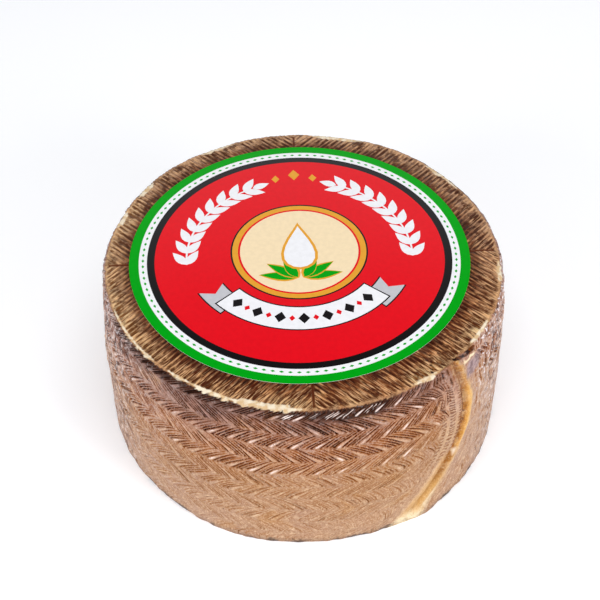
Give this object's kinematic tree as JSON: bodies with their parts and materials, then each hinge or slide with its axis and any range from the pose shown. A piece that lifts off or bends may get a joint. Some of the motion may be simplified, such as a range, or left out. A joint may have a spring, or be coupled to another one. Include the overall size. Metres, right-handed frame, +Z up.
{
  "type": "sheep milk cheese",
  "caption": "Whole cured sheep milk cheese wheel with a plaited band print round its wall, grooved top face, upright seam and round paper label on top.",
  "frame": {"origin": "centre of the bounding box at the bottom, on the flat base that the wheel stands on", "axes": "+Z up, along the wheel's axis and its shortest extent; -Y is the side that faces the camera, +X to its right"},
  "size_m": [0.1984, 0.199, 0.0926],
  "materials": {
    "rind": "natural cheese rind, tan to mauve brown, darker in its grooves, with a light oily shine on the ridges",
    "label_paper": "smooth coated paper with a satin shine, printed red with black, white and green rings"
  },
  "bodies": {
    "root": {"cheese": "rind", "label": "label_paper"}
  },
  "joints": []
}
